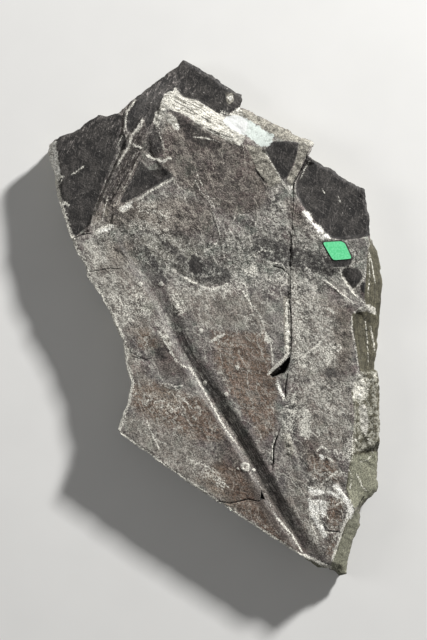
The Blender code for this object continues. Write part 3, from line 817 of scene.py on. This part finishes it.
def from_rim(mesh, places, wanted):
    """How far the wanted vertices lie from where the upward faces meet the walls."""
    upward, walls = set(), set()
    for polygon in mesh.polygons:
        (upward if polygon.normal.z > RIM_NORMAL else walls).update(polygon.vertices)
    rim = sorted(upward & walls)
    tree = kdtree.KDTree(len(rim))
    for index in rim:
        tree.insert(places[index], index)
    tree.balance()
    return np.array([tree.find(place)[2] for place in places[wanted]])


def chip_edge(places):
    """Breaks small chips out of the outline, the same in the face and in the wall under it."""
    outline = place(OUTLINE_PX)
    depth = depth_inside(places[:, :2], outline)
    near = np.abs(depth) < 3 * MM
    spots = places[near, :2]
    step = 0.1 * MM
    inward = np.column_stack([
        depth_inside(spots + move, outline) - depth[near] for move in ([step, 0], [0, step])
    ]) / step
    chips = np.array([
        noise.noise((x / (2.2 * MM), y / (2.2 * MM), z / (7 * MM)))
        + 0.6 * noise.noise((x / (0.9 * MM), y / (0.9 * MM), z / (4 * MM) + 7))
        for x, y, z in places[near]
    ])
    reach = 1 - smooth(np.abs(depth[near]), 0.4 * MM, 2.8 * MM)
    places[near, :2] += inward * (CHIP_DEPTH * np.clip(chips + 0.15, 0, 1) * reach)[:, None]


def carve(mesh):
    """Moves the fine mesh: relief up and down on the face, in and out on the side walls."""
    places, normals = mesh_arrays(mesh)
    on_face = normals[:, 2] > FACE_NORMAL
    on_side = ~on_face & (normals[:, 2] > BACK_NORMAL)
    spots = places[on_face, :2]
    slope = smooth(1 - normals[on_face, 2], 0.10, 0.35) * smooth(from_lines(spots, GROOVE_PX), 5, 8)
    inside = smooth(depth_inside(spots, place(OUTLINE_PX)) / MM, 0.1, 0.9)
    places[on_face, 2] += face_relief(spots, slope) * inside + fill_solid(spots)
    inward = normals[on_side] * [1, 1, 0]
    inward /= np.maximum(np.linalg.norm(inward, axis=1), 0.2)[:, None]
    keep = smooth(places[on_side, 2], 0.5 * MM, 2.0 * MM)
    keep *= smooth(from_rim(mesh, places, on_side), 0.2 * MM, 2.0 * MM)
    places[on_side] -= inward * (side_relief(places[on_side]) * keep)[:, None]
    chip_edge(places)
    places[:, 2] = np.clip(places[:, 2], 0, slab_high.z)
    mesh.vertices.foreach_set("co", places.ravel())
    mesh.update()


def add_mask(mesh, name, values):
    mask = mesh.attributes.new(name, "FLOAT", "POINT")
    mask.data.foreach_set("value", values.astype(np.float32))


def colour_masks(mesh):
    """Where each colour of the stone lies: depths in millimetres inside each zone."""
    places, normals = mesh_arrays(mesh)
    spots = places[:, :2]
    on_face = smooth(normals[:, 2], 0.05, 0.30)
    for name, zone_areas in ZONES_PX.items():
        add_mask(mesh, name, zone_depth(spots, zone_areas) + FAR_OUTSIDE * (1 - on_face))
    ring = np.abs(from_point(spots, RING_NODULE_PX) - 0.75 * RING_RADIUS)
    # Pale lines: scratches, rims and nodules, and painted highlights on lit ledges and rims
    add_mask(mesh, "line", np.max([
        line_cone(spots, PALE_LINES_AND_HIGHLIGHTS_PX),
        1.5 * (1 - from_lines(spots, FOOT_RIM_PX) / 1.4),
        1.2 * (1 - from_lines(spots, LEFT_RIM_PX) / 2.4),
        1.2 * (1 - ring / 1.1),
        *[1.5 * (1 - from_point(spots, centre) / radius) for centre, radius, height in NODULES_PX],
    ], axis=0))
    # Painted shade in the cracks, the open gap and the hole
    cracks = [smooth(zone_depth(spots, [area]), 0, 0.4) for area in (GAP_PX, HOLE_PX)]
    cracks += [
        1 - from_lines(spots, line) / (2.2 * half_width) for half_width, depth, line in CRACKS_PX
    ]
    add_mask(mesh, "crack", np.max(cracks, axis=0) * on_face)
    add_mask(mesh, "belt", (1 - smooth(from_lines(spots, BELT_PX), 5, 13)) * on_face)
    add_mask(mesh, "rough", roughness_of(spots) * on_face + (1 - on_face))
    add_mask(mesh, "broken", 1 - on_face)
    distance, side, share = along_line(spots, place(GROOVE_PX))
    add_mask(mesh, "groove_across", distance * side / MM)
    add_mask(mesh, "groove_along", share)


# Materials
# Kinds of node: type, settings, inputs in the order of the values given, and output
NODE_KINDS = {
    "object space": ("ShaderNodeTexCoord", {}, (), "Object"),
    "mapping": ("ShaderNodeMapping", {}, ("Vector", "Location", "Rotation", "Scale"), "Vector"),
    "vector": ("ShaderNodeCombineXYZ", {}, ("X", "Y"), "Vector"),
    "noise": ("ShaderNodeTexNoise", {}, ("Vector", "Scale", "Detail", "Roughness"), "Fac"),
    "mask": ("ShaderNodeAttribute", {}, (), "Fac"),
    "step": ("ShaderNodeMapRange", {"interpolation_type": "SMOOTHSTEP"},
             ("Value", "From Min", "From Max", "To Min", "To Max"), "Result"),
    "grey": ("ShaderNodeCombineColor", {}, ("Red", "Green", "Blue"), "Color"),
    "cover": ("ShaderNodeMix", {"data_type": "RGBA"}, (6, 7, 0), 2),
    "bump": ("ShaderNodeBump", {}, ("Height", "Strength", "Distance"), "Normal"),
    **{
        name: ("ShaderNodeMath", {"operation": operation}, (0, 1, 2), 0)
        for name, operation in (
            ("times", "MULTIPLY"), ("plus", "ADD"), ("minus", "SUBTRACT"),
            ("times plus", "MULTIPLY_ADD"), ("unsigned", "ABSOLUTE"),
        )
    },
}


def linear(hex_colour):
    """An sRGB hex colour as linear red, green, blue and 1."""
    channels = [int(hex_colour[start:start + 2], 16) / 255 for start in (1, 3, 5)]
    return [c / 12.92 if c <= 0.04045 else ((c + 0.055) / 1.055) ** 2.4 for c in channels] + [1]


def fill(node, values):
    """Sets or links a node's inputs, by name or number. A colour is a hex colour or a socket."""
    for name, value in values.items():
        if isinstance(value, bpy.types.NodeSocket):
            node.id_data.links.new(value, node.inputs[name])
        else:
            node.inputs[name].default_value = linear(value) if isinstance(value, str) else value


def add_node(tree, kind, *values, **settings):
    """Adds a node of one of the kinds and returns its output."""
    node_type, own_settings, inputs, output = NODE_KINDS[kind]
    node = tree.nodes.new(node_type)
    for name, value in {**own_settings, **settings}.items():
        setattr(node, name, value)
    fill(node, dict(zip(inputs, values)))
    return node.outputs[output]


def new_material(name):
    """The material, a function that adds nodes to it, and its shader."""
    material = bpy.data.materials.new(name)
    material.use_nodes = True
    tree = material.node_tree
    return material, partial(add_node, tree), tree.nodes["Principled BSDF"]


def grain(add, size, detail=2.0, coarse=0.55, turn=0.0, offset=0.0):
    """Noise with blotches of a size in millimetres, one number or three for x, y and z."""
    where = add("object space")
    if turn:
        where = add("mapping", where, (0, 0, 0), (0, 0, math.radians(turn)))
    sizes = size if isinstance(size, tuple) else (size, size, size)
    scale = [1 / (length * MM) for length in sizes]
    where = add("mapping", where, (offset, offset, offset), (0, 0, 0), scale)
    return add("noise", where, 1.0, detail, coarse)


def zone(add, name, ragged, noisy, soft):
    """A zone's mask. noisy is a noise that makes its edge wander by ragged millimetres."""
    wander = add("times plus", noisy, 2 * ragged, -ragged)
    depth = add("plus", add("mask", attribute_name=name), wander)
    return add("step", depth, -soft, soft)


def lay(add, under, *layers):
    """Lays colours over one another, each by a mask times what a step makes of a pattern."""
    for colour, mask, *step in layers:
        amount = add("times", mask, add("step", *step)) if step else mask
        under = add("cover", under, colour, amount)
    return under


# How many times the groove's fine lines change along its length, and their width in millimetres
GROOVE_STREAKS = 26
GROOVE_LINE_WIDTH = 0.55
# How strongly the finest grain lightens and darkens the stone
SALT = 0.62
# Hair lines of the rough bed, dark cracks and then pale broken edges: size in millimetres,
# strength, turn in degrees and colour
HAIR_LINES = (
    (6, 0.7, -50, "#3a3633"), (3, 0.5, -25, "#403c39"), (8, 0.8, -28, "#bab7ad"),
    (4, 0.55, -52, "#b4b0a6"), (2.4, 0.4, 15, "#aca89f"), (1.5, 0.4, -70, "#c2bfb6"),
)


def leaf_layer(add, ragged, coarse, medium, torn, streaks, rough):
    """The leaf's layer: mottled grey and brown, chalky in places and torn along a belt."""
    belt = add("mask", attribute_name="belt")
    tint = grain(add, 9, 3, 0.6, offset=13)
    bands = grain(add, (9, 1.4, 4), 4, 0.6, turn=12, offset=17)
    stain = add("cover", "#594839", "#7f6a5a", add("step", bands, 0.38, 0.62))
    fibres = grain(add, (1, 9, 4), 4, 0.6, turn=-25, offset=31)
    crumbs = add("plus", medium, streaks)
    chalk = zone(add, "chalk", 4.0, coarse, 1.5)
    scraps = grain(add, (3.2, 6, 4), 5, 0.6, turn=-42, offset=23)
    flaking = add("step", rough, 0.0, 0.8, 0.05, 0.9)
    body = lay(
        add, "#514c4b",
        ("#84807a", 1, coarse, 0.38, 0.64),
        ("#746a66", 1, grain(add, 11, 3), 0.45, 0.62, 0, 0.6),
        ("#736060", 1, tint, 0.46, 0.34, 0, 0.45),
        ("#7b857a", 1, tint, 0.54, 0.66, 0, 0.45),
        ("#858a80", belt, grain(add, 5, 5, 0.7), 0.44, 0.6, 0.2, 0.8),
        (stain, add("times", 0.88, zone(add, "brown", 3.5, coarse, 2.0))),
        ("#9e9688", add("times", 0.36, zone(add, "light", 4.0, coarse, 2.5))),
        # The leaf's fibres, drawn out along it
        ("#4c4643", 1, fibres, 0.48, 0.36, 0, 0.40),
        ("#a39c97", 1, fibres, 0.52, 0.64, 0, 0.28),
        # Pale chalky crumbs, thick in some patches and thin elsewhere
        ("#c9c6bc", add("times", 0.75, chalk), crumbs, 0.92, 1.10),
        ("#4a4643", chalk, crumbs, 0.94, 0.82, 0, 0.55),
        ("#c4c1b6", rough, medium, 0.60, 0.68, 0, 0.7),
        ("#35312f", rough, medium, 0.42, 0.34, 0, 0.75),
        # Pits and flakes where the leaf's layer is torn
        ("#35322f", flaking, scraps, 0.47, 0.43, 0, 0.6),
        ("#a5a299", flaking, scraps, 0.55, 0.58, 0, 0.55),
        ("#26231f", belt, torn, 0.46, 0.39, 0, 0.9),
        ("#d2d0c6", belt, torn, 0.56, 0.63, 0, 0.85),
    )
    for size, strength, turn, colour in HAIR_LINES:
        hair = grain(add, (size, 2 * size, size), 3, 0.5, turn, 0.9 * size)
        hair = add("step", add("unsigned", add("minus", hair, 0.5)), 0.005, 0.020, strength, 0.0)
        hair = add("times", hair, add("step", ragged, 0.40, 0.50))
        body = lay(add, body, (colour, hair, rough, 0.0, 0.6, 0.06, 1.0))
    return body


def bedding_planes(add, body, smooth_bed, ragged, coarse, medium, torn, streaks):
    """Duller patches and a painted shadow line, then the smooth dark planes with brushed dirt and a small
    painted shadow, and pale filaments.
    """
    brushed = grain(add, (0.7, 3.6, 2), 4, 0.7, turn=8, offset=29)
    planes = lay(
        add, "#1c1a19",
        ("#3d3a37", 1, coarse, 0.40, 0.64),
        ("#66625e", 1, streaks, 0.54, 0.66, 0, 0.6),
        ("#5c5855", 1, brushed, 0.52, 0.66, 0, 0.7),
        ("#9a9690", 1, ragged, 0.63, 0.69, 0, 0.75),
    )
    # The dim zone also holds a painted shadow line along cracks
    body = lay(add, body, ("#383534", zone(add, "dim", 2.0, medium, 0.8), torn, 0.60, 0.48, 0.3, 0.85))
    body = add("cover", body, "#d6d0cd", zone(add, "dusk", 3.0, coarse, 3.0), blend_type="MULTIPLY")
    threads = grain(add, (0.8, 5, 3), 4, 0.65, turn=26, offset=37)
    filaments = add("times", add("step", threads, 0.51, 0.63, 0, 0.75),
                    add("step", ragged, 0.42, 0.58, 0.1, 1.0))
    return lay(
        add, body, (planes, smooth_bed),
        ("#958e89", add("times", filaments, zone(add, "fibrous", 3.0, coarse, 2.0))),
    )


def groove_finish(add, body):
    """Painted shade over a dark film on the groove's right wall, painted highlight on its rubbed left wall,
    painted shade on the rim beyond, and lines along both.
    """
    across = add("mask", attribute_name="groove_across")
    along = add("mask", attribute_name="groove_along")
    way = add("vector", add("times", across, 1 / GROOVE_LINE_WIDTH), add("times", along, GROOVE_STREAKS))
    lines = add("noise", way, 1.0, 4.0, 0.65)
    start = add("step", along, 0.06, 0.40, 0.22, 1.0)
    end = add("step", along, 0.72, 1.0, 1.0, 0.45)
    # The first band is a dark film with painted shade on the right wall, the second a rubbed left wall with
    # painted highlight, the third painted shade on the rim beyond the left wall, low down
    film_and_shade, rubbed_and_highlit, shaded = [
        add("times", add("step", across, *rise), add("step", across, *fall))
        for rise, fall in (
            ((-0.8, 0.8), (7.0, 3.8)), ((-3.9, -2.9), (-0.6, -1.6)), ((-8.0, -5.5), (1.0, -1.0)),
        )
    ]
    return lay(
        add, body,
        ("#322f2c", add("times", film_and_shade, add("times", start, end)), lines, 0.62, 0.42, 0.05, 0.82),
        ("#85817c", add("times", rubbed_and_highlit, end), lines, 0.40, 0.60, 0.1, 0.8),
        ("#4b433d", add("times", shaded, add("step", along, 0.62, 0.74)), lines, 0.60, 0.42, 0.25, 0.8),
    )


def broken_walls(add, body, ragged, medium, torn):
    """Walls in level beds: grey all round, and olive on the wide break on the right, with painted light where
    the olive faces away from the key lamp.
    """
    beds = grain(add, (9, 9, 1.1), 4, 0.65)
    olive = lay(
        add, "#3b382c",
        ("#534f40", 1, beds, 0.38, 0.60),
        ("#858273", 1, torn, 0.60, 0.68, 0, 0.55),
        # Painted light on the olive wall where it faces away from the key lamp
        ("#8e8e7c", add("times", 0.55, zone(add, "painted_lit_side", 1.5, beds, 1.0))),
        ("#98968a", zone(add, "mottled", 1.0, medium, 0.6), medium, 0.44, 0.58),
    )
    grey = lay(
        add, "#43423c",
        ("#78766a", 1, beds, 0.36, 0.64),
        ("#a3a092", 1, medium, 0.58, 0.68, 0, 0.7),
    )
    return lay(
        add, body,
        (olive, zone(add, "side", 0.5, ragged, 0.2)),
        (grey, add("mask", attribute_name="broken")),
    )


def breaks_and_lines(add, body, ragged, medium, fine, torn):
    """Fresh pale breaks, scratches and painted highlights on lit edges, white chips, painted shade in the
    cracks, and the glue round the paper.
    """
    line, crack, glue = [add("mask", attribute_name=name) for name in ("line", "crack", "glue")]
    chips = grain(add, (3.4, 1.2, 1.2), 5, 0.7, turn=24)
    cream = lay(add, "#6b685f", ("#c2bfb5", 1, chips, 0.38, 0.54))
    greyish = lay(add, "#6f6b62", ("#a09c90", 1, medium, 0.40, 0.60))
    white = lay(add, "#b3afa6", ("#e4e2da", 1, medium, 0.38, 0.50))
    crumbled = add("plus", line, add("times plus", add("plus", ragged, fine), 1.6, -1.6))
    return lay(
        add, body,
        (cream, zone(add, "fresh", 0.8, ragged, 0.2)),
        (greyish, add("times", 0.9, zone(add, "pale", 0.8, ragged, 0.3))),
        # Pale lines, partly painted highlights on lit ledges and rims
        ("#cdcabf", add("step", line, 0.05, 0.30), crumbled, 0.25, 0.75, 0, 0.85),
        (white, zone(add, "white", 2.0, torn, 0.3)),
        # Painted shade in the cracks, the gap and the hole
        ("#161413", 1, crack, 0.30, 0.60, 0, 0.9),
        ("#1f1d1b", 0.85, glue, -0.9, -0.4),
    )


def shale():
    """Dark carbon-rich shale split along its beds: dull, with a sharp grain of pale specks.

    Smooth bedding planes are nearly black, the leaf's layer is mottled grey and brown, and
    fresh breaks are pale cream and olive.
    """
    material, add, shader = new_material("split_shale")
    ragged = grain(add, 1.6, 6, 0.7)
    coarse = grain(add, 6, 6, 0.68, offset=3)
    medium = grain(add, 2, 5, 0.7, offset=7)
    fine = grain(add, 0.6, 2, 0.8, offset=1)
    torn = grain(add, 1.5, 4, 0.75, offset=11)
    streaks = grain(add, (0.9, 4.5, 2), 5, 0.7, turn=-50, offset=5)
    rough = add("mask", attribute_name="rough")
    # The dark zone holds, besides the smooth planes, a small painted shadow in the groove
    smooth_bed = zone(add, "dark", 0.8, ragged, 0.25)
    body = leaf_layer(add, ragged, coarse, medium, torn, streaks, rough)
    body = bedding_planes(add, body, smooth_bed, ragged, coarse, medium, torn, streaks)
    body = groove_finish(add, body)
    body = broken_walls(add, body, ragged, medium, torn)
    body = breaks_and_lines(add, body, ragged, medium, fine, torn)
    # The finest grain lightens and darkens all of the stone, but not the bare white paint
    salt = add("step", fine, 0.38, 0.62, 0.2, 1.8)
    body = add("cover", body, add("grey", salt, salt, salt), SALT, blend_type="MULTIPLY")
    paint = lay(
        add, "#a3a9a3",
        ("#c4cbc5", 1, medium, 0.38, 0.52),
        ("#d2d3d0", zone(add, "thick_paint", 3.0, medium, 1.5)),
    )
    body = lay(add, body, (paint, zone(add, "paint", 1.6, torn, 0.15)))
    dullness = add("minus", add("step", medium, 0.35, 0.65, 0.80, 0.94), add("times", smooth_bed, 0.16))
    # Grain under 0.6 mm is too fine for the mesh, so the light catches it as bump
    relief = add("step", rough, 0.0, 1.0, 0.25, 1.0)
    bump = add("bump", add("plus", fine, medium), relief, 0.55 * MM)
    fill(shader, {
        "Base Color": body, "Roughness": dullness, "Specular IOR Level": 0.4, "Normal": bump,
    })
    return material


def green_card():
    """Matt green paper, uncoated: an even bright colour with the faint felt of its fibres."""
    material, add, shader = new_material("green_paper")
    fibres = grain(add, (0.3, 1.2, 1), 4, 0.6, turn=20)
    fill(shader, {
        "Base Color": lay(add, "#55c987", ("#74dca0", 1, grain(add, 0.8, 4), 0.3, 0.7)),
        "Roughness": add("step", fibres, 0.3, 0.7, 0.86, 0.96),
        "Normal": add("bump", fibres, 0.5, 0.03 * MM),
    })
    return material


def studio_floor():
    """Plain pale card, matt, with the faintest cloudiness so that it reads as a real sheet."""
    material, add, shader = new_material("pale_card_floor")
    colour = lay(add, "#dddcd9", ("#e4e3e0", grain(add, 30, 2)))
    fill(shader, {"Base Color": colour, "Roughness": 0.8})
    return material


# Pieces
CREASE_ANGLE = math.radians(42)
PAPER_LIFT = 0.05 * MM
PAPER_THICKNESS = 0.14 * MM
PAPER_WAVE = 0.04 * MM
# The CAD's paper, whose top the sheet follows: how thick it is, and how far it lies off the stone
CAD_PAPER_THICKNESS = 0.3 * MM
CAD_PAPER_GAP = 0.3 * MM


def new_object(bm, name, material):
    """Makes a bmesh an object of the scene, in a material."""
    mesh = bpy.data.meshes.new(name)
    bm.to_mesh(mesh)
    bm.free()
    mesh.materials.append(material)
    thing = bpy.data.objects.new(name, mesh)
    bpy.context.scene.collection.objects.link(thing)
    return thing


def make_slab():
    bm = refined_slab()
    relax(bm)
    slab = new_object(bm, "shale_slab", shale())
    carve(slab.data)
    colour_masks(slab.data)
    slab.data.set_sharp_from_angle(angle=CREASE_ANGLE)
    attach(slab, "root")
    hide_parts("slab")


def make_paper():
    """The glued diamond: thin, faintly wavy, with soft corners, as level as the CAD's."""
    low, high = [Vector(corner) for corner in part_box("paper_diamond")]
    bm = bmesh.new()
    bm.faces.new([bm.verts.new((x, y, 0)) for x, y in place(PAPER_PX)])
    bmesh.ops.subdivide_edges(bm, edges=bm.edges, cuts=9, use_grid_fill=True)
    rim = [vert for vert in bm.verts if vert.is_boundary]
    for step in range(2):
        bmesh.ops.smooth_vert(bm, verts=rim, factor=0.5, use_axis_x=True, use_axis_y=True)
    slope = (high.z - low.z - CAD_PAPER_THICKNESS) / (high.x - low.x)
    stone = high.z - CAD_PAPER_THICKNESS - CAD_PAPER_GAP
    for vert in bm.verts:
        level = stone - (vert.co.x - low.x) * slope
        wave = PAPER_WAVE * noise.noise((vert.co.x / (4 * MM), vert.co.y / (4 * MM), 3.0))
        vert.co.z = level + PAPER_LIFT + PAPER_THICKNESS + wave
    bmesh.ops.solidify(bm, geom=list(bm.faces), thickness=PAPER_THICKNESS)
    bmesh.ops.recalc_face_normals(bm, faces=bm.faces)
    paper = new_object(bm, "paper_diamond_sheet", green_card())
    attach(paper, "root")
    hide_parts("paper_diamond")


def make_floor():
    bm = bmesh.new()
    bmesh.ops.create_grid(bm, x_segments=1, y_segments=1, size=6)
    floor = new_object(bm, "floor", studio_floor())


def soft_light(name, azimuth, elevation, distance, size, flat_share):
    """A square lamp aimed at the slab. flat_share is its part of the light on a level face."""
    data = bpy.data.lights.new(name, "AREA")
    data.size = size
    height = math.sin(math.radians(elevation))
    data.energy = flat_share * math.pi ** 2 * distance ** 2 / height
    lamp = bpy.data.objects.new(name, data)
    way = Vector((
        math.cos(math.radians(azimuth)) * math.cos(math.radians(elevation)),
        math.sin(math.radians(azimuth)) * math.cos(math.radians(elevation)),
        height,
    ))
    lamp.location = way * distance
    lamp.rotation_euler = way.to_track_quat("Z", "Y").to_euler()
    bpy.context.scene.collection.objects.link(lamp)


def lights():
    soft_light("key", azimuth=48, elevation=26, distance=1.6, size=0.17, flat_share=0.78)
    soft_light("fill", azimuth=172, elevation=35, distance=1.6, size=0.60, flat_share=0.10)
    world = bpy.data.worlds.new("studio")
    world.use_nodes = True
    fill(world.node_tree.nodes["Background"], {"Color": "#ffffff", "Strength": 0.12})
    bpy.context.scene.world = world
    bpy.context.scene.view_settings.view_transform = "Standard"


def camera():
    """Looks straight down on the face, with the photograph's frame and scale."""
    data = bpy.data.cameras.new("camera")
    data.lens = 250
    data.sensor_width = 36
    rig = bpy.data.objects.new("camera", data)
    frame_height = FRAME_HEIGHT_PX * METRES_PER_PIXEL
    distance = frame_height * data.lens / data.sensor_width
    across = (FRAME_WIDTH_PX / 2 - CENTRE_X_PX) * METRES_PER_PIXEL
    up = (CENTRE_Y_PX - FRAME_HEIGHT_PX / 2) * METRES_PER_PIXEL
    rig.location = (across, up, FACE_HEIGHT + distance)
    bpy.context.scene.collection.objects.link(rig)
    bpy.context.scene.camera = rig


make_slab()
make_paper()
make_floor()
lights()
camera()
